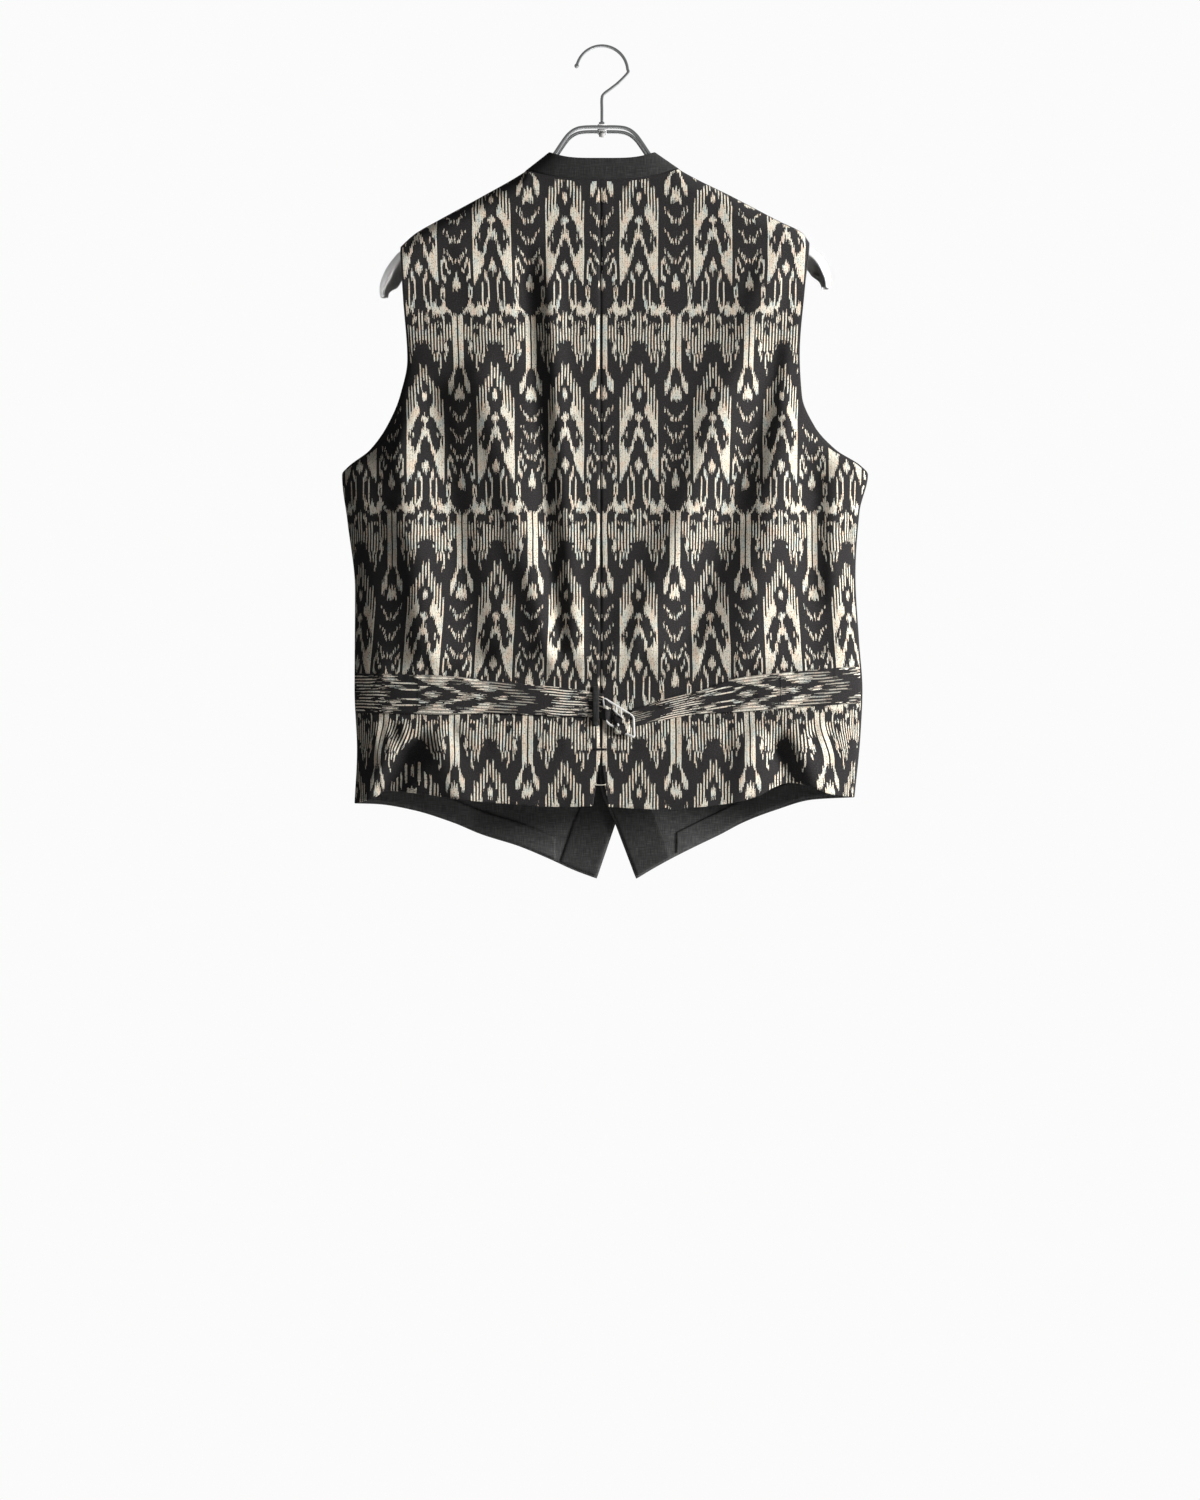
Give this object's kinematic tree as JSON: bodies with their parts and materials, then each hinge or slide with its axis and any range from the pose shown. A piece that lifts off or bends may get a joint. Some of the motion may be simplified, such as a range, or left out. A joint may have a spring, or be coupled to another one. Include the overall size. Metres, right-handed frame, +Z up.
{
  "type": "waistcoat on a metal jacket hanger",
  "caption": "Man's waistcoat hanging on a chrome hanger: patterned woven back with a buckled waist belt and vent, plain dark fronts.",
  "frame": {"origin": "inside top of the hanger's hook, where a rail carries it", "axes": "+Z up, +Y out of the wearer's back, so the fronts face -Y and +X is the wearer's left"},
  "size_m": [0.5255, 0.0987, 0.8357],
  "materials": {
    "back_cloth": "matt plain-weave cotton, charcoal ground with a cream resist-dyed thread pattern",
    "front_cloth": "matt black plain weave",
    "hanger_metal": "polished chrome",
    "bridge_block": "smooth pale plastic",
    "buckle_metal": "nickel-plated wire, lightly worn",
    "buttons": "dark horn-like plastic, half gloss"
  },
  "bodies": {
    "root": {"back_left": "back_cloth", "back_right": "back_cloth", "strap_left": "back_cloth", "strap_right": "back_cloth", "strap_fold": "back_cloth", "front_left": "front_cloth", "front_right": "front_cloth", "front_facing_left": "front_cloth", "front_facing_right": "front_cloth", "hem_facing_left": "front_cloth", "hem_facing_right": "front_cloth", "neck_band": "front_cloth", "belt_loop": "front_cloth", "hook": "hanger_metal", "hook_collar": "hanger_metal", "hook_nut": "hanger_metal", "neck_bar_back": "hanger_metal", "neck_bar_front": "hanger_metal", "arm_left": "hanger_metal", "arm_right": "hanger_metal", "bridge": "bridge_block", "buckle": "buckle_metal", "button_1": "buttons", "button_2": "buttons", "button_3": "buttons", "button_4": "buttons", "button_5": "buttons"}
  },
  "joints": []
}
